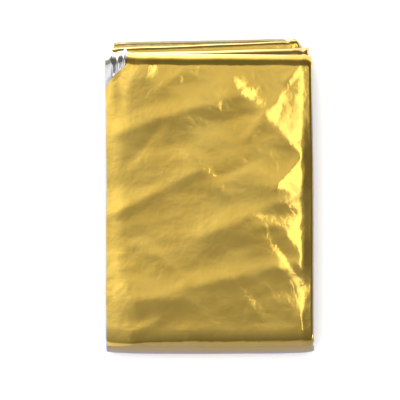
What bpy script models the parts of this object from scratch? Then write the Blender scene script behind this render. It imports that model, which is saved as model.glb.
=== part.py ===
"""An emergency foil blanket, folded: one sheet, halved over and over into a flat oblong pack.

The sheet is halved four times across its width, which makes a long bundle of sixteen films, and
then four times along its length. The solid is that bundle as one strip, back and forth.

Metres, +Z up. The origin is the middle of the pack's underside. +X runs across the pack, and +Y
points to its loose end, where the earlier folds step out from behind the last but one.
"""

from math import cos, pi, sin
from typing import NamedTuple

import bmesh
import bpy
from numpy import interp

MM = 0.001
WIDTH = 88.2 * MM  # of the pack, in which the 87.5 mm strip leans a little to one side
LENGTH = 133.6 * MM
RUNS = 16  # the lengths of the strip between its folds, after four halvings
LAYER = 1.0 * MM  # the bundle of sixteen films
PITCH = 1.34 * MM  # from one layer to the next

STATIONS = [-1.0, -0.93, -0.86, -0.78, -0.4, 0.0, 0.45, 0.8, 1.0]  # across, from edge to edge
STEPS_ALONG_RUN = 5
CROWDING = 1.5  # how much closer those steps are near the loose end
FEWEST_STEPS_ROUND = 4
STEP_ROUND = 1.5 * MM  # of a turn's radius, for each further step
EDGE_SQUEEZE = 0.04  # share of its height that the pack loses at its sides
SWELL = 0.015  # share of its height by which its face rises and dips
CORNER_DRAW = 0.8 * MM  # how far the corners of the rounded end are drawn in
STAGGER = 0.7 * MM  # how unevenly the layers' side edges lie over each other

ROUND_END_RADIUS = (RUNS - 1) * PITCH / 2
ROUND_END_CENTRE = LAYER / 2 + ROUND_END_RADIUS - LENGTH / 2  # on Y, shared by all nested turns
ROUND_END_EDGES = (0.7 * MM - WIDTH / 2, WIDTH / 2)  # the strip's left and right edge there

FOIL_GOLD = (0.83, 0.62, 0.20, 1.0)


class Fold(NamedTuple):
    """Layers that end together at the loose end: how far they reach on Y, and their side edges on X."""

    bottom_level: int
    top_level: int
    reach_left: float
    reach_middle: float
    reach_right: float
    left_edge: float
    right_edge: float

    def reach(self, across):
        """The reach at a place across the strip, from -1 at its left edge to 1 at its right."""
        slope = (self.reach_right - self.reach_left) / 2
        bow = (self.reach_right + self.reach_left) / 2 - self.reach_middle
        return (self.reach_middle + slope * across + bow * across**2) * MM

    def edges(self):
        return self.left_edge * MM, self.right_edge * MM


LOOSE_END = [  # millimetres, from the back of the pack to its front
    #    levels        reach             side edges
    Fold(0, 1, 65.9, 66.6, 67.4, -40.9, 37.7),  # the strip's two ends
    Fold(2, 3, 63.1, 64.5, 66.3, -42.0, 39.1),  # first halving
    Fold(4, 7, 60.8, 61.6, 62.9, -43.2, 42.4),  # second
    Fold(8, 15, 60.0, 59.9, 59.6, -44.1, 43.4),  # third
]


class Pleat(NamedTuple):
    """A ridge or trough of the third fold's crumpled left corner."""

    across: float
    rise: float
    height: float


CORNER_PLEATS = [
    #   across  rise on Y in mm  change of height as a share
    Pleat(-1.00, 2.3, -0.03),
    Pleat(-0.93, 3.0, 0.02),
    Pleat(-0.86, 2.5, -0.03),
    Pleat(-0.78, 0.0, 0.01),
    Pleat(-0.40, 0.0, 0.00),
]


class PathPoint(NamedTuple):
    """A place on the strip's own path: Y and Z, the fold it ends in, and how far its edges step in."""

    y: float
    z: float
    fold: Fold
    step_in: float


def halved_order(runs):
    """The run of the strip that lies on each level, lowest first, once it is halved down to one stack."""
    stacks = [[run] for run in range(runs)]
    while len(stacks) > 1:
        half = len(stacks) // 2
        folded_over = reversed(stacks[half:])
        stacks = [below + above[::-1] for below, above in zip(stacks[:half], folded_over)]
    return stacks[0]


def level_height(level):
    return LAYER / 2 + level * PITCH


def fold_of(level):
    return next(fold for fold in LOOSE_END if fold.bottom_level <= level <= fold.top_level)


def step_in_of(level):
    golden_share = 0.618
    return STAGGER * (level * golden_share % 1.0)


def loose_turn_centre(fold):
    """The place on Y of the centre that a fold's nested turns share."""
    outer_radius = (fold.top_level - fold.bottom_level) * PITCH / 2 + LAYER / 2
    return fold.reach(0.0) - outer_radius


def straight_run(level, away, loose_y):
    """Points of one run. It runs away from the loose end, or back to it."""
    fold, height = fold_of(level), level_height(level)
    for step in range(STEPS_ALONG_RUN + 1):
        share = step / STEPS_ALONG_RUN
        gone = (share if away else 1.0 - share) ** CROWDING
        y = loose_y + gone * (ROUND_END_CENTRE - loose_y)
        yield PathPoint(y, height, fold, step_in_of(level))


def turn(level, next_level, centre, bulge):
    """Points of a half turn between two levels, without its ends. bulge is the side that it faces."""
    z, next_z = level_height(level), level_height(next_level)
    middle, radius = (z + next_z) / 2, (z - next_z) / 2
    steps = FEWEST_STEPS_ROUND + round(abs(radius) / STEP_ROUND)
    for step in range(1, steps):
        share = step / steps
        y = centre + bulge * abs(radius) * sin(pi * share)
        fold = fold_of(level if share < 0.5 else next_level)
        step_in = (1 - share) * step_in_of(level) + share * step_in_of(next_level)
        yield PathPoint(y, middle + radius * cos(pi * share), fold, step_in)


def strip_path():
    """The strip's middle line in the YZ plane, from one of its ends to the other."""
    order = halved_order(RUNS)
    levels = [order.index(run) for run in range(RUNS)]
    path = []
    for run, level in enumerate(levels):
        away = run % 2 == 0
        fold = fold_of(level)
        free = fold is LOOSE_END[0]
        loose_y = fold.reach(0.0) if free else loose_turn_centre(fold)
        path += straight_run(level, away, loose_y)
        if run + 1 < RUNS:
            centre = ROUND_END_CENTRE if away else loose_turn_centre(fold)
            path += turn(level, levels[run + 1], centre, bulge=-1 if away else 1)
    return path


def smooth_step(share):
    share = min(max(share, 0.0), 1.0)
    return share * share * (3 - 2 * share)


def pleated(across, column):
    """A column of the corner's table, read between its rows."""
    places = [pleat.across for pleat in CORNER_PLEATS]
    return float(interp(across, places, [getattr(pleat, column) for pleat in CORNER_PLEATS]))


def height_share(across, y):
    """What the pack keeps of its full height at a place on it."""
    edge = EDGE_SQUEEZE * across**6
    swell = SWELL * (sin(2.6 * across + 0.6) * cos(2 * pi * y / LENGTH) - 1.0)
    corner = smooth_step(2 * y / LENGTH) ** 3 * pleated(across, "height")
    return 1.0 - edge + swell + corner


def place_on_pack(point, across):
    """Where a point of the path lies once the strip has its width, skewed folds and uneven height."""
    loose_share = smooth_step(point.y / point.fold.reach(0.0))
    round_share = smooth_step(-4 * point.y / LENGTH - 1.0)
    left, right = (
        round_edge + loose_share * (loose_edge - round_edge)
        for round_edge, loose_edge in zip(ROUND_END_EDGES, point.fold.edges())
    )
    x = left + point.step_in + (across + 1) / 2 * (right - left - 2 * point.step_in)
    skew = loose_share * (point.fold.reach(across) - point.fold.reach(0.0))
    if point.fold is LOOSE_END[-1]:
        skew += loose_share**3 * pleated(across, "rise") * MM
    y = point.y + skew + round_share * CORNER_DRAW * across**6
    rest = LAYER / 2
    z = rest + (point.z - rest) * height_share(across, y)
    return x, y, z


def make_blanket(collection):
    """The strip as an open surface on its path, given the bundle's thickness by Solidify."""
    path = strip_path()
    last_station, last_point = len(STATIONS) - 1, len(path) - 1
    cloth = bmesh.new()
    bmesh.ops.create_grid(cloth, x_segments=last_station, y_segments=last_point, size=0.5)
    for vertex in cloth.verts:
        across = STATIONS[round((vertex.co.x + 0.5) * last_station)]
        point = path[round((vertex.co.y + 0.5) * last_point)]
        vertex.co = place_on_pack(point, across)
    mesh = bpy.data.meshes.new("foil_blanket")
    cloth.to_mesh(mesh)
    cloth.free()
    mesh.shade_smooth()
    mesh.set_sharp_from_angle(angle=pi / 4)

    blanket = bpy.data.objects.new("foil_blanket", mesh)
    collection.objects.link(blanket)
    thickness = blanket.modifiers.new("bundle of films", "SOLIDIFY")
    thickness.thickness = LAYER
    thickness.offset = 0.0
    thickness.use_even_offset = True
    blanket.data.materials.append(foil_material())
    return blanket


def foil_material():
    material = bpy.data.materials.new("foil")
    material.use_nodes = True
    shader = material.node_tree.nodes["Principled BSDF"]
    shader.inputs["Base Color"].default_value = FOIL_GOLD
    shader.inputs["Metallic"].default_value = 1.0
    shader.inputs["Roughness"].default_value = 0.2
    return material


for leftover in list(bpy.data.objects):
    bpy.data.objects.remove(leftover)
parts = bpy.data.collections.new("emergency_foil_blanket")
bpy.context.scene.collection.children.link(parts)
make_blanket(parts)
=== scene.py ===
"""The looks of a folded emergency foil blanket. Metres, +Z up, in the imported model's frame."""

from math import cos, inf, pi, radians, sin
from typing import NamedTuple

import bmesh
import bpy
import numpy as np
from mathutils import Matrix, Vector


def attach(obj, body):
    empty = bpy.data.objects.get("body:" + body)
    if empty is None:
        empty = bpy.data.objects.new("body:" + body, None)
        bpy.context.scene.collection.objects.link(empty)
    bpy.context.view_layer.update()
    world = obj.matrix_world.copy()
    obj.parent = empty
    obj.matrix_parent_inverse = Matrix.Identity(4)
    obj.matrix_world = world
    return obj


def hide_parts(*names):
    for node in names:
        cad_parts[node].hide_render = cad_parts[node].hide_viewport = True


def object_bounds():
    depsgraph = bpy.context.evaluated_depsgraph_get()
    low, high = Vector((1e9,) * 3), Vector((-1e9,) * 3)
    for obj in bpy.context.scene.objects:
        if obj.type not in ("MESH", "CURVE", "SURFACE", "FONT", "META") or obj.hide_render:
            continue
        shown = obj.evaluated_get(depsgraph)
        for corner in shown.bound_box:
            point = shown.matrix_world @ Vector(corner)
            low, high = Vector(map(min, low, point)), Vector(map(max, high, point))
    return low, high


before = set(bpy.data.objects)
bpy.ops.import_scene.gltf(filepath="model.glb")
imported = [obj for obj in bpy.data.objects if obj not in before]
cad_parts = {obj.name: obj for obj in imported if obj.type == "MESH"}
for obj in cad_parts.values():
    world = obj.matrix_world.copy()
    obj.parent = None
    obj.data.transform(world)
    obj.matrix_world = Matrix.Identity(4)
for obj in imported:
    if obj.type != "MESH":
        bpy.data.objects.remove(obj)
cad_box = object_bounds()


# ---------------------------------------------------------------- How the blanket is folded
# One film of 1.4 by 2.0 m, halved four times across and then four times along. The first four
# halvings make a bundle of sixteen films, the last four a pack of sixteen such bundles.

MM = 0.001
RUNS = 16  # of the film across a bundle, and of the bundle along the pack
BUNDLE_PITCH = 1.34 * MM
BUNDLE_THICKNESS = 1.0 * MM
FILM_PITCH = BUNDLE_THICKNESS / (RUNS - 1)

PACK_WIDTH, PACK_LENGTH = 88.2 * MM, 133.6 * MM
BUNDLE_HALF_WIDTH = 43.75 * MM
ROUND_END_RADIUS = (RUNS - 1) * BUNDLE_PITCH / 2
ROUND_END_CENTRE = BUNDLE_THICKNESS / 2 + ROUND_END_RADIUS - PACK_LENGTH / 2
ROUND_END_EDGES = (0.3 * MM - PACK_WIDTH / 2, PACK_WIDTH / 2)


class Fold(NamedTuple):
    """Layers that end together at the loose end: their reach on Y and their side edges on X, in mm."""

    bottom_level: int
    top_level: int
    reach_left: float
    reach_middle: float
    reach_right: float
    left_edge: float
    right_edge: float


LOOSE_END = [
    #    levels        reach             side edges
    Fold(0, 1, 65.9, 66.6, 67.4, -40.9, 37.7),
    Fold(2, 3, 63.1, 64.5, 66.3, -42.0, 39.1),
    Fold(4, 7, 60.8, 61.6, 62.9, -43.2, 42.4),
    Fold(8, 15, 60.0, 59.9, 59.6, -44.1, 43.4),
]
FRONT_FOLD = len(LOOSE_END) - 1


def halved_order(runs):
    """The run that lies on each level, lowest first, once a strip is halved down to one stack."""
    stacks = [[run] for run in range(runs)]
    while len(stacks) > 1:
        half = len(stacks) // 2
        folded_over = reversed(stacks[half:])
        stacks = [below + above[::-1] for below, above in zip(stacks[:half], folded_over)]
    return stacks[0]


class Spot(NamedTuple):
    """A place on a line laid back and forth, with its heading and the levels that it lies between."""

    place: float
    height: float
    heading: tuple
    level: int
    next_level: int
    share: float
    run: int


def back_and_forth(pitch, round_centre, loose_centre, run_shares, turn_steps):
    """The line that halving makes, from its first end at the loose end to its last."""
    order = halved_order(RUNS)
    levels = [order.index(run) for run in range(RUNS)]
    spots = []
    for run, level in enumerate(levels):
        away = run % 2 == 0
        shares = run_shares(run)
        for share in shares if away else shares[::-1]:
            place = loose_centre(level) + share * (round_centre - loose_centre(level))
            heading = (-1.0 if away else 1.0, 0.0)
            spots.append(Spot(place, level * pitch, heading, level, level, 0.0, run))
        if run + 1 == RUNS:
            break
        next_level = levels[run + 1]
        radius = (next_level - level) * pitch / 2
        centre, bulge = (round_centre, -1) if away else (loose_centre(level), 1)
        steps = turn_steps(run, abs(radius))
        for step in range(1, steps):
            angle = pi * step / steps
            place = centre + bulge * abs(radius) * sin(angle)
            height = (level + next_level) * pitch / 2 - radius * cos(angle)
            heading = (bulge * cos(angle), sin(angle) * (1 if radius > 0 else -1))
            spots.append(Spot(place, height, heading, level, next_level, step / steps, run))
    return spots


def run_length(spots):
    """The distance along a line at each of its spots."""
    places = np.array([(spot.place, spot.height) for spot in spots])
    steps = np.linalg.norm(np.diff(places, axis=0), axis=1)
    return np.concatenate([[0.0], np.cumsum(steps)])


# The bundle as it runs along the pack. The rows are close together on the outside of the pack.

FACE_RUN, LAST_RUN = 1, RUNS - 1
FACE_ROWS, UNDERSIDE_ROWS, HIDDEN_ROWS = 72, 10, 5
CROWDING = 1.5  # draws the rows of the other runs towards the loose end
FINE_TURNS = {0: 22, 1: 14, 3: 9, 7: 6}  # by the run that they follow: those that show
FEWEST_TURN_STEPS = 3
COARSE_TURN_STEP = 1.6 * MM  # of a hidden turn's radius, for each step more
RUNS_TO_A_VISIBLE_FOLD = (3, 4, 7, 8, LAST_RUN)
ROWS_AT_A_FOLD = [0.008, 0.035]  # shares of such a run, from its fold
ROWS_AT_THE_LAST_END = [0.004, 0.035]


def fold_index(level):
    return next(i for i, fold in enumerate(LOOSE_END) if fold.bottom_level <= level <= fold.top_level)


def loose_place(level):
    """Where a layer's straight part stops at the loose end: at its turn's centre, or at a free end."""
    fold = LOOSE_END[fold_index(level)]
    if fold is LOOSE_END[0]:
        return fold.reach_middle * MM
    outer_radius = (fold.top_level - fold.bottom_level) * BUNDLE_PITCH / 2 + BUNDLE_THICKNESS / 2
    return fold.reach_middle * MM - outer_radius


def rows_of_run(run):
    rows = {0: UNDERSIDE_ROWS, FACE_RUN: FACE_ROWS}.get(run, HIDDEN_ROWS)
    crowding = 1.0 if run == FACE_RUN else CROWDING
    shares = [(row / rows) ** crowding for row in range(rows + 1)]
    if run not in RUNS_TO_A_VISIBLE_FOLD:
        return shares
    return sorted(shares + (ROWS_AT_THE_LAST_END if run == LAST_RUN else ROWS_AT_A_FOLD))


def rows_of_turn(run, radius):
    return FINE_TURNS.get(run, FEWEST_TURN_STEPS + round(radius / COARSE_TURN_STEP))


rows = back_and_forth(BUNDLE_PITCH, ROUND_END_CENTRE, loose_place, rows_of_run, rows_of_turn)

# The film as it runs across the bundle. Its raw edge is at the left, on the outside of the pack.
# The places of the columns are shares of a run's width, from the left.

OUTER_COLUMNS = 46
CLOSE_COLUMNS = 8  # of those, the last ones at the crumpled right end, which are twice as close
HIDDEN_COLUMNS = [0.0, 0.08, 0.5, 0.92, 1.0]
PLEATED_COLUMNS, PLEATED_STEP = 23, 0.0045  # of the second film, where its silver is bared
SECOND_COLUMNS = [PLEATED_STEP * i for i in range(PLEATED_COLUMNS)] + [0.108, 0.12, 0.2, 0.5, 0.92, 1.0]
OUTER_SIDE_STEPS, FEWEST_SIDE_STEPS = 6, 2
COARSE_SIDE_STEP = 0.2 * MM  # of a side fold's radius, for each step more
FILM_STEPS_IN = [0.0, 0.5, 0.9, 1.2]  # mm, of the films' ends and earlier folds at the left


def film_loose_place(level):
    return BUNDLE_HALF_WIDTH - FILM_STEPS_IN[fold_index(level)] * MM


def columns_of_run(run):
    if run == 0:
        halves = [OUTER_COLUMNS - column - 0.5 for column in range(CLOSE_COLUMNS)]
        return sorted([column / OUTER_COLUMNS for column in [*range(OUTER_COLUMNS + 1), *halves]])
    return SECOND_COLUMNS if run == LAST_RUN else HIDDEN_COLUMNS


def columns_of_turn(run, radius):
    return OUTER_SIDE_STEPS if run == 0 else FEWEST_SIDE_STEPS + round(radius / COARSE_SIDE_STEP)


film_round_centre = BUNDLE_THICKNESS / 2 - BUNDLE_HALF_WIDTH
columns = back_and_forth(
    FILM_PITCH, film_round_centre, film_loose_place, columns_of_run, columns_of_turn
)


# ---------------------------------------------------------------- The blanket
# A single cut sheet of metallised plastic film, 12 micrometres thick, gold on one face and silver
# on the other. It has no hem. It is made flat, then folded, and its outermost film is creased.


def ramp(place, low, high):
    """Rises smoothly from 0 at low to 1 at high. Low may be the larger of the two."""
    share = np.clip((place - low) / (high - low), 0.0, 1.0)
    return share * share * (3 - 2 * share)


def spot_values(spots, value):
    return np.array([value(spot) for spot in spots], dtype=float)


# Each row's own values stand in a column, so that they spread over the film's columns.
def down(values):
    return np.asarray(values)[:, None]


strip_y = down(spot_values(rows, lambda spot: spot.place))
strip_z = down(spot_values(rows, lambda spot: spot.height)) + BUNDLE_THICKNESS / 2
outward_y = down(spot_values(rows, lambda spot: -spot.heading[1]))
outward_z = down(spot_values(rows, lambda spot: spot.heading[0]))
row_fold = [fold_index(s.level if s.share < 0.5 else s.next_level) for s in rows]

# The bundles' side edges don't lie quite above one another.
STAGGER = 0.7 * MM
EVEN_SPREAD = 0.618  # of the stagger, from one level to the next


def stagger(level):
    return STAGGER * (level * EVEN_SPREAD % 1.0)


step_in = down([(1 - s.share) * stagger(s.level) + s.share * stagger(s.next_level) for s in rows])

film_level = spot_values(columns, lambda spot: spot.height / FILM_PITCH)
film_x = -spot_values(columns, lambda spot: spot.place)
across = film_x / BUNDLE_HALF_WIDTH
depth = (LAST_RUN / 2 - film_level) * FILM_PITCH

strip_length, film_length = run_length(rows), run_length(columns)
on_outer_film = spot_values(columns, lambda spot: spot.run == 0 and spot.share == 0.0)
on_second_film = spot_values(columns, lambda spot: spot.run == LAST_RUN)


def fold_values(column):
    return down([getattr(LOOSE_END[fold], column) for fold in row_fold]) * MM


reach_middle = fold_values("reach_middle")
reach_slope = (fold_values("reach_right") - fold_values("reach_left")) / 2
reach_bow = (fold_values("reach_right") + fold_values("reach_left")) / 2 - reach_middle
loose_share = ramp(strip_y, 0.0, reach_middle)
round_share = ramp(strip_y, -PACK_LENGTH / 4, -PACK_LENGTH / 2)
in_front_fold = down([fold == FRONT_FOLD for fold in row_fold])

# Places on the outside of the pack, in mm: x across it, and s along it from the middle of the face.
# The outside ends two rows past the front fold's turn.
ROWS_PAST_FRONT_FOLD = 2
face_rows = [i for i, spot in enumerate(rows) if spot.run == FACE_RUN and spot.share == 0.0]
face_zero = np.interp(0.0, strip_y[face_rows, 0], strip_length[face_rows])
s = down(strip_length - face_zero) / MM
x = film_x / MM + 0 * s
pack_y = strip_y / MM
row_past_front_fold = next(i for i, spot in enumerate(rows) if spot.run == FACE_RUN + 1)
last_outside_length = strip_length[row_past_front_fold + ROWS_PAST_FRONT_FOLD]
on_outside = down(strip_length <= last_outside_length)


# The creases, pressed into the outermost film while the pack was folded and handled.


class Crease(NamedTuple):
    """A line pressed into the outermost film, in mm on the outside of the pack, and how it stands out."""

    x: float
    s: float
    to_x: float
    to_s: float
    lift: float
    width: float


CREASES = [
    # long soft bends over the face
    Crease(-40, 26, 8, 42, 0.50, 5.0),
    Crease(-32, -44, 38, -28, 0.42, 6.0),
    Crease(10, 48, 42, 14, 0.42, 5.0),
    Crease(-42, -8, -6, 10, 0.38, 4.0),
    Crease(-2, -16, 42, 2, 0.40, 5.0),
    # shorter, sharper ones
    Crease(-36, 12, -20, 30, -0.24, 1.8),
    Crease(-12, 22, 6, 0, 0.30, 2.0),
    Crease(16, 24, 30, 42, 0.26, 1.6),
    Crease(-26, -22, -10, -36, 0.28, 1.8),
    Crease(8, -34, 20, -50, 0.26, 1.8),
    Crease(26, -16, 40, -38, -0.24, 2.0),
    Crease(-40, -30, -30, -50, 0.26, 1.6),
    Crease(-6, 30, 14, 34, -0.20, 1.6),
    Crease(28, 4, 42, 20, 0.26, 1.6),
    Crease(-20, 46, -6, 57, 0.26, 1.6),
    Crease(33, 49, 43, 60, 0.30, 1.4),
    Crease(4, 8, 20, 14, -0.18, 1.4),
    # along the turned end, where the face bends down
    Crease(-44, -65.6, -33, -61.9, 1.40, 1.8),
    Crease(-33, -61.9, -8, -59.8, 0.95, 2.2),
    Crease(-8, -59.8, 44, -58.8, 0.95, 2.2),
    Crease(-43, -63.0, -22, -53.0, 0.50, 1.2),
    Crease(-43, -65.0, -10, -57.0, 0.36, 1.2),
    # round the turned end
    Crease(-34, -54, -30, -78, 0.14, 2.2),
    Crease(-10, -58, -14, -84, 0.12, 2.6),
    Crease(18, -56, 22, -80, 0.13, 2.4),
    Crease(38, -50, 42, -72, 0.34, 1.3),
    Crease(42, -60, 37, -88, 0.30, 1.2),
    Crease(43, -68, 39, -66, 0.30, 0.9),
    Crease(-42, -60, -38, -88, 0.26, 1.4),
    Crease(-42, -72, -26, -66, 0.20, 1.8),
]


def distance_to(crease):
    """How far each place on the outside is from a crease."""
    run_x, run_s = crease.to_x - crease.x, crease.to_s - crease.s
    share = ((x - crease.x) * run_x + (s - crease.s) * run_s) / (run_x**2 + run_s**2)
    share = np.clip(share, 0.0, 1.0)
    return np.hypot(x - crease.x - share * run_x, s - crease.s - share * run_s)


# Between the creases the film ripples, along lines that wander and in patches that fade.


class Ripple(NamedTuple):
    """Ridges with flat flanks between them, in mm: their spacing, heading, shift and height."""

    spacing: float
    heading: float
    shift: float
    height: float


class Wander(NamedTuple):
    """What bends the ripples' lines, in mm: how far, and the run along x and s to one radian."""

    far: float
    x_run: float
    s_run: float
    shift_share: float


RIPPLES = [
    Ripple(27.0, radians(82), 3.0, 0.38),
    Ripple(18.0, radians(103), 9.0, 0.26),
    Ripple(13.0, radians(58), 2.0, 0.13),
    Ripple(8.6, radians(97), 5.0, 0.10),
    Ripple(5.4, radians(86), 1.0, 0.05),
]
WANDERS_ACROSS = [Wander(2.6, inf, 9.0, 1.0), Wander(1.2, 5.3, 7.1, 0.0)]
WANDERS_ALONG = [Wander(2.8, 8.0, inf, -1.0), Wander(1.1, -6.3, 4.7, 0.0)]
FADE, FADE_X_RUN, FADE_S_RUN = 0.45, 13.0, 17.0


def wandered(wanders, shift):
    return sum(w.far * np.sin(x / w.x_run + s / w.s_run + w.shift_share * shift) for w in wanders)


def rippled(ripple):
    bent_x = x + wandered(WANDERS_ACROSS, ripple.shift)
    bent_s = s + wandered(WANDERS_ALONG, ripple.shift)
    along = bent_x * cos(ripple.heading) + bent_s * sin(ripple.heading)
    phase = (along + ripple.shift) / ripple.spacing
    flank = np.abs(2 * (phase - np.floor(phase + 0.5)))
    patch = np.sin(x / FADE_X_RUN + ripple.shift) * np.cos(s / FADE_S_RUN - ripple.shift)
    return ripple.height * flank * (1.0 - FADE + FADE * patch)


# The outermost film is loosest in the middle of the face. It is drawn tight round the ends and over
# both sides, and most of all under the pack, which presses it flat. Each ramp runs between two
# places in mm.

LOOSE_AT_ENDS, LOOSE_UNDERNEATH = 0.35, 0.10
LOOSE_AT_RIGHT, LOOSE_AT_LEFT, LOOSER_AT_TURNED_END = 0.25, 0.35, 0.35


def drawn_tight(looseness_left, where):
    return 1.0 - (1.0 - looseness_left) * where


on_face = ramp(s, -62, -46) * ramp(s, 60, 50)
loose_at_left = LOOSE_AT_LEFT + LOOSER_AT_TURNED_END * ramp(s, -52, -58)
looseness = drawn_tight(LOOSE_AT_ENDS, 1.0 - on_face)
looseness = looseness * drawn_tight(LOOSE_UNDERNEATH, ramp(s, -74, -88))
looseness = looseness * drawn_tight(LOOSE_AT_RIGHT, ramp(x, 38.5, 43.5))
looseness = looseness * drawn_tight(loose_at_left, ramp(x, -36.5, -43.5))

AIR_GAP = 0.09  # mm, under the outermost film
CLEAR_OF_TROUGHS = 0.15  # mm, so that no trough reaches the film below
relief = sum(crease.lift * np.exp(-distance_to(crease) / crease.width) for crease in CREASES)
relief = relief + sum(rippled(ripple) for ripple in RIPPLES) + CLEAR_OF_TROUGHS
lift = AIR_GAP + relief * looseness * on_outside

# The folds behind the front one: long streaks that swell and thin out along them.


class Streak(NamedTuple):
    """A swelling of one fold's outermost film: where along X, how long and how high, in mm."""

    fold: int
    x: float
    length: float
    height: float


STREAKS = [
    Streak(2, -20, 16, 0.20),
    Streak(2, 22, 22, 0.30),
    Streak(1, -30, 9, 0.22),
    Streak(1, 4, 14, 0.24),
    Streak(1, 30, 7, 0.16),
    Streak(0, -12, 18, 0.16),
    Streak(0, 24, 10, 0.18),
]
inside = 1 - on_outside
for streak in STREAKS:
    in_fold = down([fold == streak.fold for fold in row_fold])
    swelling = streak.height * np.exp(-(((x - streak.x) / streak.length) ** 2))
    lift = lift + swelling * in_fold * ramp(pack_y, 40, 60) * inside

# Those folds are tipped towards their ends, and the pack's weight flattens the film beneath it.
TIPPED, TIPPED_OVER = 0.045, 5.5  # mm a mm, and mm from the end
FLATTENED = 0.8
from_end = reach_middle / MM - pack_y
tipped = TIPPED * np.clip(from_end, 0.0, TIPPED_OVER) * ramp(pack_y, 40, 52)
lift = lift + tipped * (1 - in_front_fold) * inside * (outward_z > 0)
lift = lift * (1.0 - FLATTENED * ramp(s, -96, -104) * on_outside)


# The crumpled corner. The outermost film's raw edge is drawn back, and the silver back of the
# film under it shows, in upright pleats. The film curls up along its raw edge.

DRAWN_BACK = 8.8  # mm
RAW_EDGE_WAVE = 0.45  # mm
DRAWN_AS_FAR_AS = 12.0  # mm, along x
CURL_AT_CORNER, CURL, CURL_WIDTH = 0.42, 0.10, 2.2  # mm
PUFFED_UP = 0.32  # mm, beside the bared silver
left_x = -BUNDLE_HALF_WIDTH / MM
at_corner = ramp(s, 43, 56) * ramp(s, 78, 72)
raw_edge_wave = 0.5 + 0.5 * np.sin(s / 7.0 + 0.8) * np.cos(s / 17.0)
raw_edge = DRAWN_BACK * at_corner + RAW_EDGE_WAVE * raw_edge_wave
draw_back = raw_edge * ramp(x, DRAWN_AS_FAR_AS, left_x) ** 3 * on_outside
curl = (CURL_AT_CORNER * at_corner + CURL) * np.exp(-(x - left_x) / CURL_WIDTH)
lift = lift + curl * on_outside * ramp(s, -80, -68)
lift = lift + PUFFED_UP * at_corner * ramp(x, -24, -32) * on_outside


class SilverPleat(NamedTuple):
    """A line down the bared silver, in mm: where along X, and how far it stands up and out."""

    x: float
    height: float
    reach: float


SILVER_PLEATS = [
    SilverPleat(-43.75, 0.50, 0.3),
    SilverPleat(-41.30, 0.98, 0.7),
    SilverPleat(-41.00, 0.92, 0.1),
    SilverPleat(-39.00, 0.30, 0.2),
    SilverPleat(-38.60, 0.84, 0.5),
    SilverPleat(-36.20, 0.26, 1.3),
    SilverPleat(-35.80, 0.72, 2.2),
    SilverPleat(-35.20, 0.50, 1.8),
    SilverPleat(-34.60, 0.00, 0.0),
]
pleat_x = [pleat.x for pleat in SILVER_PLEATS]
silver_lift = np.interp(x, pleat_x, [pleat.height for pleat in SILVER_PLEATS])
silver_lift = silver_lift * at_corner * on_outside
silver_reach = np.interp(film_x / MM, pleat_x, [pleat.reach for pleat in SILVER_PLEATS])


class Pleat(NamedTuple):
    """A line down the gold film at the same corner: where across, its reach in mm, and its height."""

    across: float
    reach: float
    height: float


CORNER_PLEATS = [
    Pleat(-1.00, 2.3, -0.03),
    Pleat(-0.93, 3.0, 0.02),
    Pleat(-0.86, 2.5, -0.03),
    Pleat(-0.78, 0.0, 0.01),
    Pleat(-0.40, 0.0, 0.00),
]
HIDDEN_FLAT_TO = -0.86  # across, from the left: the hidden films lie flat, under the troughs


def pleated(film_across, column):
    """The crumpled corner's reach or height, over the outermost film and under it."""
    values = [getattr(pleat, column) for pleat in CORNER_PLEATS]
    shown = np.interp(film_across, [pleat.across for pleat in CORNER_PLEATS], values)
    hidden_ends = [HIDDEN_FLAT_TO, CORNER_PLEATS[-1].across]
    hidden = np.interp(film_across, hidden_ends, [min(0.0, *values), 0.0])
    return np.where(on_outer_film > 0, shown, hidden)


# The folds' right ends are crumpled: dented, pushed about, and uneven where they end.


class Wave(NamedTuple):
    """One wave of a crumple: its height, its radians a mm on X and Y, and those a fold."""

    height: float
    by_x: float
    by_y: float
    by_fold: float


DENTS = [Wave(1.0, 1.9, 0.5, 2.3), Wave(0.7, 1.1, -0.8, 1.7)]
UNEVEN_REACH = [Wave(1.0, 0.9, 0.0, 2.9), Wave(0.6, 2.0, 0.0, -1.4)]
UNEVEN_SIDE = [Wave(1.0, 0.0, 1.7, 2.0)]
DENT_DEPTH, REACH_DEPTH, SIDE_DEPTH = 0.14, 0.42, 0.30  # mm
OUTSIDE_SHARE, FRONT_FOLD_SHARE = 0.5, 0.4
fold_number = down(row_fold)


def waves_of(waves):
    """The waves added up, over the whole folded film."""
    return sum(
        wave.height * np.sin(wave.by_x * x + wave.by_y * pack_y + wave.by_fold * fold_number)
        for wave in waves
    )


off_the_floor = down(spot_values(rows, lambda spot: spot.run > 0))
right_end = ramp(across, 0.80, 0.95) * ramp(pack_y, 44, 56) * off_the_floor
behind_front = 1.0 - (1.0 - FRONT_FOLD_SHARE) * in_front_fold
deepest_dent = -sum(wave.height for wave in DENTS)
dented = (waves_of(DENTS) - deepest_dent) * (1 - (1 - OUTSIDE_SHARE) * on_outside)
lift = lift + DENT_DEPTH * dented * right_end * behind_front
right_reach = REACH_DEPTH * waves_of(UNEVEN_REACH) * right_end * behind_front
right_reach = right_reach * (strip_y / reach_middle) ** 6

# Small crumples push the side fold out at the right, at the turned end and at the front fold.


class SideCrumple(NamedTuple):
    """A crumpled stretch of the side: where along s and how long, in mm, and its share of the depth."""

    s: float
    length: float
    share: float


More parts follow.
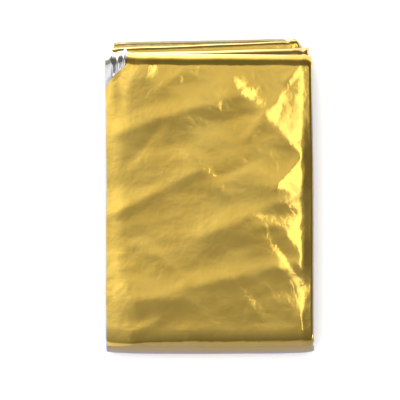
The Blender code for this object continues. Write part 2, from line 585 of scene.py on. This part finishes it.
SIDE_CRUMPLES = [SideCrumple(-66, 7, 1.0), SideCrumple(60, 5, 0.8)]
CRUMPLE_DEPTH = 0.50  # mm
CRUMPLED_FROM = 0.90  # across, from there to the side
SIDE_STANDS_OUT = 0.8  # of the side's unevenness, so that most of it is outward
crumple_wave = np.sin(0.9 * s + 0.4 * np.sin(0.5 * s)) + 0.7 * np.sin(1.9 * s + 1.0)
crumple_place = sum(c.share * np.exp(-(((s - c.s) / c.length) ** 2)) for c in SIDE_CRUMPLES)
crumple = CRUMPLE_DEPTH * np.maximum(0.0, crumple_wave) * crumple_place
crumple = crumple * ramp(across, CRUMPLED_FROM, 1.0) * on_outside
crumple = crumple + SIDE_DEPTH * (waves_of(UNEVEN_SIDE) + SIDE_STANDS_OUT) * right_end * inside

# The strip's second end lies on its first, a little short of it and pressed thin.
SHORT_OF_FIRST_END = 0.9 * MM
PRESSED_THIN = 0.8  # of the bundle's thickness
on_last_run = down(spot_values(rows, lambda spot: spot.run == LAST_RUN and spot.share == 0.0))
drawn_short = SHORT_OF_FIRST_END * on_last_run * ramp(pack_y, 50, 60)
pressed_thin = np.ones_like(strip_y)
pressed_thin[-1] = PRESSED_THIN

# The whole pack is drawn in at the folds' corners and at the turned end's, and thinner at its sides.
PINCH, PINCHED_FROM = 0.4 * MM, 0.95  # across, from there to the side
CORNER_DRAW = 0.8 * MM
EDGE_SQUEEZE = 0.028  # share of its height that the pack loses at its sides
SWELL = 0.015  # share of its height, by which it swells and sinks across and along
SWELL_ACROSS, SWELL_SHIFT = 2.6, 0.6  # radians


def place_blanket(grid):
    """Moves the flat grid's vertices to where folding brings them. Returns their columns and rows."""
    count = len(grid.vertices)
    flat = np.empty(count * 3, np.float32)
    grid.vertices.foreach_get("co", flat)
    flat = flat.reshape(-1, 3)
    column = np.rint((flat[:, 0] + 0.5) * (len(columns) - 1)).astype(int)
    row = np.rint((flat[:, 1] + 0.5) * (len(rows) - 1)).astype(int)

    outward = depth * pressed_thin + (lift * on_outer_film + silver_lift * on_second_film) * MM
    film_across = across + draw_back * on_outer_film * MM / BUNDLE_HALF_WIDTH
    y = strip_y + outward_y * outward
    z = strip_z + outward_z * outward

    skew = loose_share * (reach_slope * across + reach_bow * across**2)
    pleat_reach = np.where(on_second_film > 0, silver_reach, pleated(film_across, "reach"))
    skew = skew + in_front_fold * loose_share**3 * pleat_reach * MM
    pinched = PINCH * ramp(np.abs(across), PINCHED_FROM, 1.0) * loose_share**4
    y = y + skew + round_share * CORNER_DRAW * across**6 - pinched + right_reach * MM
    y = y - drawn_short

    left = ROUND_END_EDGES[0] + loose_share * (fold_values("left_edge") - ROUND_END_EDGES[0])
    right = ROUND_END_EDGES[1] + loose_share * (fold_values("right_edge") - ROUND_END_EDGES[1])
    left, right = left + step_in, right - step_in
    placed_x = left + (film_across + 1) / 2 * (right - left) + crumple * MM

    swell = np.sin(SWELL_ACROSS * across + SWELL_SHIFT) * np.cos(2 * pi * y / PACK_LENGTH)
    corner = ramp(y, 0.0, PACK_LENGTH / 2) ** 3 * pleated(film_across, "height")
    thickness = 1.0 - EDGE_SQUEEZE * across**8 + SWELL * (swell - 1.0) + corner
    rest = BUNDLE_THICKNESS / 2
    z = rest + (z - rest) * thickness

    folded = np.stack([placed_x + 0 * y, y, z], axis=-1)[row, column]
    grid.vertices.foreach_set("co", folded.astype(np.float32).ravel())
    grid.update()
    return column, row


BAKE_MAP, FLAT_MAP = "OFBake", "flat sheet"

cloth = bmesh.new()
cloth.loops.layers.uv.new(BAKE_MAP)
bmesh.ops.create_grid(
    cloth, x_segments=len(columns) - 1, y_segments=len(rows) - 1, size=0.5, calc_uvs=True
)
mesh = bpy.data.meshes.new("foil blanket")
cloth.to_mesh(mesh)
cloth.free()
grid_column, grid_row = place_blanket(mesh)
flat_u, flat_v = film_length[grid_column], strip_length[grid_row]

corner_vertex = np.empty(len(mesh.loops), np.int32)
mesh.loops.foreach_get("vertex_index", corner_vertex)
flat_layer = mesh.uv_layers.new(name=FLAT_MAP)
flat_layer.data.foreach_set(
    "uv", np.stack([flat_u[corner_vertex], flat_v[corner_vertex]], axis=-1).astype(np.float32).ravel()
)
mesh.shade_smooth()

# Where the lacquer is rubbed: on the side folds and the small turns, and most at the strip's ends.
RUBBED_TURN, RUBBED_LAST_RUN, RUBBED_ENDS = 0.5, 0.9, 2.0
RUBBED_FROM = 55 * MM  # along the last run
side_fold = spot_values(columns, lambda spot: spot.share > 0.0)
turned = down([spot.share > 0.0 and spot.run not in (0, FACE_RUN) for spot in rows])
end_rubbed = RUBBED_LAST_RUN * on_last_run * (strip_y > RUBBED_FROM)
end_rubbed[0], end_rubbed[-1] = RUBBED_ENDS, RUBBED_ENDS
rubbed = np.maximum(np.maximum(side_fold, RUBBED_TURN * turned), end_rubbed).astype(np.float32)
rubbed_layer = mesh.attributes.new("rubbed", "FLOAT", "POINT")
rubbed_layer.data.foreach_set("value", rubbed[grid_row, grid_column])

MODELLED_THICKNESS = 0.03 * MM  # thicker than the real film, so that its two faces stay apart
blanket = bpy.data.objects.new("blanket_film", mesh)
bpy.context.scene.collection.objects.link(blanket)
two_faces = blanket.modifiers.new("gold and silver", "SOLIDIFY")
two_faces.thickness = MODELLED_THICKNESS
two_faces.offset = -1.0
two_faces.material_offset = 1
two_faces.use_even_offset = False


def film_creases():
    """The height of the fine creases that a folded film keeps: facets, cockles and grain."""
    group = bpy.data.node_groups.new("film creases", "ShaderNodeTree")
    face = group.interface
    face.new_socket("Flat Place", in_out="INPUT", socket_type="NodeSocketVector")
    face.new_socket("Facets per Metre", in_out="INPUT", socket_type="NodeSocketFloat")
    face.new_socket("Height", in_out="OUTPUT", socket_type="NodeSocketFloat")
    nodes, links = group.nodes, group.links
    inside_group, outside_group = nodes.new("NodeGroupInput"), nodes.new("NodeGroupOutput")
    flat_place = inside_group.outputs["Flat Place"]
    facets_per_metre = inside_group.outputs["Facets per Metre"]

    def maths(operation, first, second):
        node = nodes.new("ShaderNodeMath")
        node.operation = operation
        for socket, value in zip(node.inputs, (first, second)):
            if isinstance(value, (int, float)):
                socket.default_value = value
            else:
                links.new(value, socket)
        return node.outputs[0]

    def noise(scale, detail):
        node = nodes.new("ShaderNodeTexNoise")
        links.new(flat_place, node.inputs["Vector"])
        node.inputs["Scale"].default_value = scale
        node.inputs["Detail"].default_value = detail
        return node.outputs["Fac"]

    bend = nodes.new("ShaderNodeTexNoise")
    links.new(flat_place, bend.inputs["Vector"])
    bend.inputs["Scale"].default_value = 140.0
    bent = nodes.new("ShaderNodeVectorMath")
    bent.operation = "MULTIPLY_ADD"
    links.new(bend.outputs["Color"], bent.inputs[0])
    bent.inputs[1].default_value = (4 * MM, 4 * MM, 0.0)
    links.new(flat_place, bent.inputs[2])

    def facets(feature):
        node = nodes.new("ShaderNodeTexVoronoi")
        node.feature = feature
        links.new(bent.outputs[0], node.inputs["Vector"])
        links.new(facets_per_metre, node.inputs["Scale"])
        return node.outputs["Distance"]

    ridges, tilts = facets("DISTANCE_TO_EDGE"), facets("F1")
    patches = maths("SMOOTH_MIN", noise(scale=45.0, detail=1.0), 0.62)
    ridge_height, tilt_height, cockle_height, grain_height = 1.5, 0.16, 0.6, 0.03
    height = maths("MULTIPLY", ridges, maths("MULTIPLY", patches, ridge_height))
    height = maths("ADD", height, maths("MULTIPLY", tilts, tilt_height))
    cockles, grain = noise(scale=240.0, detail=2.0), noise(scale=1900.0, detail=1.0)
    height = maths("ADD", height, maths("MULTIPLY", cockles, cockle_height))
    height = maths("ADD", height, maths("MULTIPLY", grain, grain_height))
    links.new(height, outside_group.inputs["Height"])
    return group


CREASED_FILM = film_creases()


def film_material(name, metal, deep, rubbed_colour):
    """Bright metal under clear lacquer, a little deeper in places and paler where it is rubbed."""
    material = bpy.data.materials.new(name)
    material.use_nodes = True
    nodes, links = material.node_tree.nodes, material.node_tree.links
    shader = nodes["Principled BSDF"]
    shader.inputs["Metallic"].default_value = 1.0
    shader.inputs["Coat Weight"].default_value = 0.35
    shader.inputs["Coat Roughness"].default_value = 0.05
    shader.inputs["Coat IOR"].default_value = 1.6

    flat_place = nodes.new("ShaderNodeUVMap")
    flat_place.uv_map = FLAT_MAP
    creases = nodes.new("ShaderNodeGroup")
    creases.node_tree = CREASED_FILM
    creases.inputs["Facets per Metre"].default_value = 170.0
    links.new(flat_place.outputs["UV"], creases.inputs["Flat Place"])

    clouds = nodes.new("ShaderNodeTexNoise")
    clouds.inputs["Scale"].default_value = 60.0
    clouds.inputs["Detail"].default_value = 3.0
    links.new(flat_place.outputs["UV"], clouds.inputs["Vector"])
    tone = nodes.new("ShaderNodeMix")
    tone.data_type = "RGBA"
    tone.inputs["A"].default_value, tone.inputs["B"].default_value = (*deep, 1.0), (*metal, 1.0)
    links.new(clouds.outputs["Fac"], tone.inputs["Factor"])

    rubbed_place = nodes.new("ShaderNodeAttribute")
    rubbed_place.attribute_name = "rubbed"
    rubbed_in_clouds = nodes.new("ShaderNodeMath")
    rubbed_in_clouds.operation = "MULTIPLY"
    links.new(rubbed_place.outputs["Fac"], rubbed_in_clouds.inputs[0])
    links.new(clouds.outputs["Fac"], rubbed_in_clouds.inputs[1])
    worn = nodes.new("ShaderNodeMix")
    worn.data_type = "RGBA"
    worn.inputs["B"].default_value = (*rubbed_colour, 1.0)
    links.new(tone.outputs["Result"], worn.inputs["A"])
    links.new(rubbed_in_clouds.outputs[0], worn.inputs["Factor"])
    links.new(worn.outputs["Result"], shader.inputs["Base Color"])

    haze = nodes.new("ShaderNodeMapRange")
    haze.inputs["From Min"].default_value, haze.inputs["From Max"].default_value = 0.35, 0.7
    haze.inputs["To Min"].default_value, haze.inputs["To Max"].default_value = 0.08, 0.19
    links.new(clouds.outputs["Fac"], haze.inputs["Value"])
    links.new(haze.outputs["Result"], shader.inputs["Roughness"])

    bump = nodes.new("ShaderNodeBump")
    bump.inputs["Strength"].default_value = 1.0
    bump.inputs["Distance"].default_value = 0.10 * MM
    links.new(creases.outputs["Height"], bump.inputs["Height"])
    links.new(bump.outputs["Normal"], shader.inputs["Normal"])
    return material


gold = film_material(
    "gold film", metal=(0.95, 0.68, 0.15), deep=(0.88, 0.56, 0.08), rubbed_colour=(0.97, 0.84, 0.50)
)
silver = film_material(
    "silver film", metal=(0.80, 0.81, 0.83), deep=(0.70, 0.71, 0.74), rubbed_colour=(0.90, 0.90, 0.91)
)
mesh.materials.append(gold)
mesh.materials.append(silver)

# The sheet is made two-sided for good, and its two faces get places of their own on the bake map.
GOLD_SHARE_OF_MAP = 0.82
SHARP_ANGLE = radians(80)
both_faces = bpy.data.meshes.new_from_object(
    blanket.evaluated_get(bpy.context.evaluated_depsgraph_get())
)
both_faces.set_sharp_from_angle(angle=SHARP_ANGLE)
blanket.modifiers.clear()
blanket.data = both_faces
face_material = np.empty(len(both_faces.polygons), np.int32)
both_faces.polygons.foreach_get("material_index", face_material)
corners_of_face = np.empty(len(both_faces.polygons), np.int32)
both_faces.polygons.foreach_get("loop_total", corners_of_face)
silver_corner = np.repeat(face_material, corners_of_face) == 1
bake_place = np.empty(len(both_faces.loops) * 2, np.float32)
both_faces.uv_layers[BAKE_MAP].data.foreach_get("uv", bake_place)
bake_u = bake_place[0::2]
bake_u[:] = np.where(
    silver_corner, GOLD_SHARE_OF_MAP + (1 - GOLD_SHARE_OF_MAP) * bake_u, GOLD_SHARE_OF_MAP * bake_u
)
both_faces.uv_layers[BAKE_MAP].data.foreach_set("uv", bake_place)

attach(blanket, "root")
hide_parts("foil_blanket")


# ---------------------------------------------------------------- The floor
# A sheet of white paper. Only in the foil's mirroring does it show painted reflections: painted bluish
# shade before the pack and a painted glow behind it, brightest at the left, which the camera doesn't see.

FLOOR_HALF = 4.0
BEFORE_TO_BEHIND = (30 * MM, 70 * MM)  # on Y, from the painted bluish shade to the painted bright reflection
LEFT_TO_RIGHT = (-40 * MM, 40 * MM)  # on X
# Painted shade: the bluish colour shows only where the foil mirrors the paper, standing for shaded floor
# before the pack.
PAINTED_SHADE_COLOUR, WHITE = (0.27, 0.30, 0.66, 1.0), (0.9, 0.9, 0.9, 1.0)

floor_mesh = bpy.data.meshes.new("floor")
floor_shape = bmesh.new()
bmesh.ops.create_grid(floor_shape, x_segments=1, y_segments=1, size=FLOOR_HALF)
floor_shape.to_mesh(floor_mesh)
floor_shape.free()
floor = bpy.data.objects.new("floor", floor_mesh)
bpy.context.scene.collection.objects.link(floor)

paper = bpy.data.materials.new("floor paper with painted reflections")
paper.use_nodes = True
paper_shader = paper.node_tree.nodes["Principled BSDF"]
paper_nodes, paper_links = paper.node_tree.nodes, paper.node_tree.links
paper_place = paper_nodes.new("ShaderNodeSeparateXYZ")
paper_links.new(paper_nodes.new("ShaderNodeTexCoord").outputs["Object"], paper_place.inputs[0])


def paper_slope(axis, between, first, last):
    """A value that changes from one place on the floor to another."""
    slope = paper_nodes.new("ShaderNodeMapRange")
    slope.inputs["From Min"].default_value, slope.inputs["From Max"].default_value = between
    slope.inputs["To Min"].default_value, slope.inputs["To Max"].default_value = first, last
    paper_links.new(paper_place.outputs[axis], slope.inputs["Value"])
    return slope.outputs["Result"]


def paper_product(first, second):
    product = paper_nodes.new("ShaderNodeMath")
    product.operation = "MULTIPLY"
    paper_links.new(first, product.inputs[0])
    paper_links.new(second, product.inputs[1])
    return product.outputs[0]


# Painted reflection: only for mirrored rays, the paper is painted bluish shade before the pack and white
# behind it, with more painted shade to the right.
mirrored = paper_nodes.new("ShaderNodeLightPath").outputs["Is Glossy Ray"]
behind = paper_slope("Y", BEFORE_TO_BEHIND, 0.0, 1.0)
painted_reflection = paper_nodes.new("ShaderNodeMix")
painted_reflection.data_type = "RGBA"
painted_reflection.inputs["A"].default_value, painted_reflection.inputs["B"].default_value = PAINTED_SHADE_COLOUR, WHITE
painted_bright_share = paper_product(behind, paper_slope("X", LEFT_TO_RIGHT, 1.0, 0.75))
paper_links.new(painted_bright_share, painted_reflection.inputs["Factor"])
paper_colour = paper_nodes.new("ShaderNodeMix")
paper_colour.data_type = "RGBA"
paper_colour.inputs["A"].default_value = WHITE
paper_links.new(painted_reflection.outputs["Result"], paper_colour.inputs["B"])
paper_links.new(mirrored, paper_colour.inputs["Factor"])
paper_links.new(paper_colour.outputs["Result"], paper_shader.inputs["Base Color"])
# Painted glow: only for mirrored rays, the paper glows behind the pack, brightest at the left and faint
# at the right.
painted_glow = paper_product(
    paper_product(mirrored, behind), paper_slope("X", LEFT_TO_RIGHT, 1.9, 0.10)
)
paper_links.new(painted_glow, paper_shader.inputs["Emission Strength"])
paper_shader.inputs["Emission Color"].default_value = (1.0, 0.98, 0.94, 1.0)
paper_shader.inputs["Roughness"].default_value = 0.7
floor_mesh.materials.append(paper)


# ---------------------------------------------------------------- The room
# What the foil mirrors: light low down, most of all behind the pack, dark above that, and pale
# again overhead. It is brighter to the left.

world = bpy.data.worlds.new("studio")
world.use_nodes = True
bpy.context.scene.world = world
room, room_links = world.node_tree.nodes, world.node_tree.links
direction = room.new("ShaderNodeSeparateXYZ")
room_links.new(room.new("ShaderNodeTexCoord").outputs["Generated"], direction.inputs[0])

# Each row has the sine of the height above the horizon, and the room's colour there.
BEHIND_LIGHT = [
    (0.00, (1.50, 1.46, 1.36)),
    (0.12, (1.00, 0.97, 0.90)),
    (0.32, (0.46, 0.44, 0.38)),
    (0.42, (0.20, 0.19, 0.16)),
    (0.60, (0.16, 0.15, 0.13)),
    (0.92, (0.17, 0.16, 0.14)),
    (0.955, (0.74, 0.72, 0.66)),
    (1.00, (0.68, 0.66, 0.62)),
]
BEFORE_LIGHT = [
    (0.00, (0.46, 0.46, 0.58)),
    (0.37, (0.46, 0.46, 0.58)),
    (0.43, (0.15, 0.15, 0.16)),
    (0.60, (0.19, 0.19, 0.19)),
    (0.90, (0.27, 0.27, 0.28)),
    (1.00, (0.35, 0.35, 0.36)),
]
# Straight before the pack, the room's light low down turns bluer, as if the floor's painted bluish shade
# turned up a little.
CARD_LIGHT = [
    (0.00, (0.43, 0.46, 1.15)),
    (0.10, (0.44, 0.46, 0.94)),
    (0.20, (0.46, 0.46, 0.60)),
    *BEFORE_LIGHT[1:],
]


def height_ramp(lights):
    """The room's light from the horizon up."""
    colours = room.new("ShaderNodeValToRGB")
    room_links.new(direction.outputs["Z"], colours.inputs["Fac"])
    stops = colours.color_ramp.elements
    while len(stops) < len(lights):
        stops.new(0.5)
    for stop, (height, light) in zip(stops, lights):
        stop.position, stop.color = height, (*light, 1.0)
    return colours.outputs["Color"]


def room_slope(axis, low, high, at_low, at_high):
    """A value that changes from one direction along an axis to another."""
    slope = room.new("ShaderNodeMapRange")
    slope.interpolation_type = "SMOOTHSTEP"
    slope.inputs["From Min"].default_value, slope.inputs["From Max"].default_value = low, high
    slope.inputs["To Min"].default_value, slope.inputs["To Max"].default_value = at_low, at_high
    room_links.new(direction.outputs[axis], slope.inputs["Value"])
    return slope.outputs["Result"]


def room_product(first, second):
    product = room.new("ShaderNodeMath")
    product.operation = "MULTIPLY"
    room_links.new(first, product.inputs[0])
    room_links.new(second, product.inputs[1])
    return product.outputs[0]


def room_mix(share, first, second):
    mix = room.new("ShaderNodeMix")
    mix.data_type = "RGBA"
    room_links.new(share, mix.inputs["Factor"])
    room_links.new(first, mix.inputs["A"])
    room_links.new(second, mix.inputs["B"])
    return mix.outputs["Result"]


straight_before = room_product(
    room_slope("X", -0.36, -0.20, 0.0, 1.0), room_slope("X", 0.20, 0.36, 1.0, 0.0)
)
before_pack = room_mix(straight_before, height_ramp(BEFORE_LIGHT), height_ramp(CARD_LIGHT))
behind_share = room_slope("Y", -0.16, 0.16, 0.0, 1.0)
room_colour = room_mix(behind_share, before_pack, height_ramp(BEHIND_LIGHT))
brighter_left = room_product(
    room_slope("X", -0.8, 0.8, 1.3, 0.75), room_slope("X", -0.36, 0.04, 1.7, 1.0)
)
above_floor = room_slope("Z", -0.08, -0.01, 0.22, 1.0)
background = room["Background"]
room_links.new(room_colour, background.inputs["Color"])
room_links.new(room_product(brighter_left, above_floor), background.inputs["Strength"])


# ---------------------------------------------------------------- The lamps and the camera
# Soft lamps above the pack, two of which light it without showing in the foil, and a camera that
# looks straight down.

PACK_MIDDLE = (0.0, 0.0, 0.0)


def soft_light(name, place, target, size, power, mirrored=True):
    """A flat soft lamp. Where it isn't mirrored, the foil doesn't show it."""
    lamp = bpy.data.lights.new(name, "AREA")
    lamp.shape, lamp.size, lamp.size_y = "ELLIPSE", size[0], size[1]
    lamp.energy = power
    holder = bpy.data.objects.new(name, lamp)
    holder.location = place
    holder.rotation_euler = (Vector(target) - Vector(place)).to_track_quat("-Z", "Y").to_euler()
    holder.visible_glossy = mirrored
    bpy.context.scene.collection.objects.link(holder)


soft_light("overhead panel", (-0.90, 0.10, 1.6), (-0.90, 0.10, 0.0), size=(0.60, 1.7), power=1.5)
soft_light("overhead strip", (0.30, 0.14, 1.6), (0.30, 0.14, 0.0), size=(0.22, 0.84), power=0.6)
soft_light("low lamp", (0.9, -0.55, 0.3), PACK_MIDDLE, size=(0.16, 0.16), power=0.7)
soft_light("window", (-0.5, 1.5, 1.6), PACK_MIDDLE, size=(1.2, 1.2), power=14, mirrored=False)
soft_light("ceiling", (0.0, 0.0, 2.2), PACK_MIDDLE, size=(2.4, 2.4), power=60, mirrored=False)

CAMERA_DISTANCE = 1.3
CAMERA_OVER = (-4.0 * MM, -1.7 * MM)
FRAME_ACROSS = 168.7 * MM
SENSOR_WIDTH = 36.0
face_height = cad_box[1].z
camera_data = bpy.data.cameras.new("camera")
camera_data.sensor_width = SENSOR_WIDTH
camera_data.lens = SENSOR_WIDTH * CAMERA_DISTANCE / FRAME_ACROSS
camera = bpy.data.objects.new("camera", camera_data)
camera.location = (*CAMERA_OVER, face_height + CAMERA_DISTANCE)
camera.rotation_euler = (0.0, 0.0, 0.0)
bpy.context.scene.collection.objects.link(camera)
bpy.context.scene.camera = camera
bpy.context.scene.view_settings.view_transform = "Standard"
